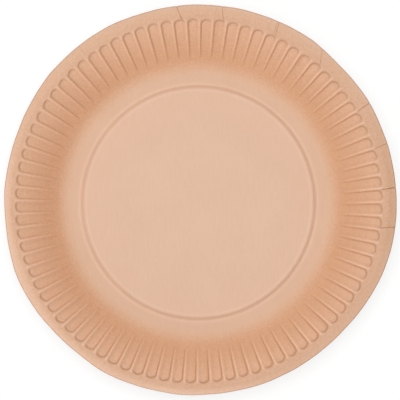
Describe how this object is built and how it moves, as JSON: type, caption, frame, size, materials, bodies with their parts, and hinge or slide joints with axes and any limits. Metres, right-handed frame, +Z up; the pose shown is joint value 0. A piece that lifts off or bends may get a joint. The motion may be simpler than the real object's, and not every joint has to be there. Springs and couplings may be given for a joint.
{
  "type": "paper plate",
  "caption": "Round disposable paper plate in plain kraft board, with a flat centre, a fluted sloping wall and a narrow flat rim.",
  "frame": {"origin": "centre of the circle that the plate stands on, at the underside of the foot band", "axes": "+Z up, along the plate's axis, towards the side that holds food; +X and +Y across the plate"},
  "size_m": [0.23, 0.23, 0.0197],
  "materials": {
    "kraft_board": "matte, fibrous, slightly sheened by pressing"
  },
  "bodies": {
    "root": {"plate": "kraft_board"}
  },
  "joints": []
}
